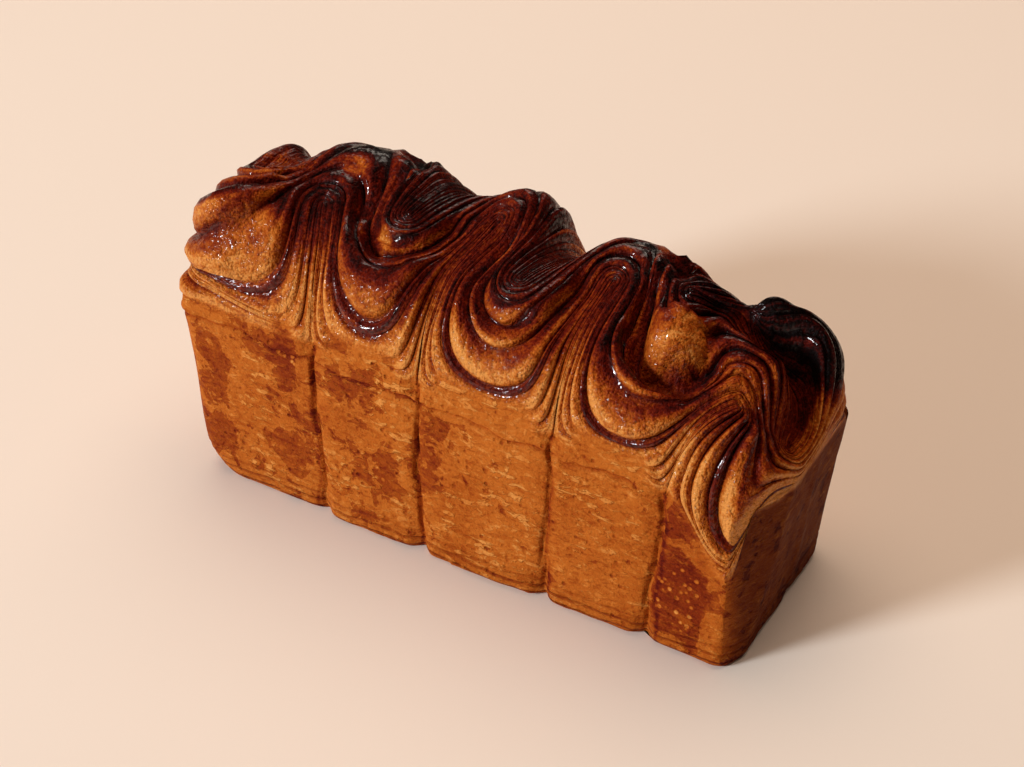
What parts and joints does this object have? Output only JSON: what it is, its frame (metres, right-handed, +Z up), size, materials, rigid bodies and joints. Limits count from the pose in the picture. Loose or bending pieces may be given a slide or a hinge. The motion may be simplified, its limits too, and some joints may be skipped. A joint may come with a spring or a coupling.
{
  "type": "laminated brioche loaf",
  "caption": "Tin-baked loaf of laminated brioche: flat caramel sides and a dark glossy top where folded layers open into winding ridges.",
  "frame": {"origin": "middle of the loaf's bounding box, on the surface it stands on", "axes": "+X along the length, towards the end that slopes down, -Y towards the front side, +Z up"},
  "size_m": [0.3138, 0.1068, 0.1682],
  "materials": {
    "crust": "baked crust, caramel on the sides and dark and glossy on top"
  },
  "bodies": {
    "root": {"brioche_loaf": "crust"}
  },
  "joints": []
}
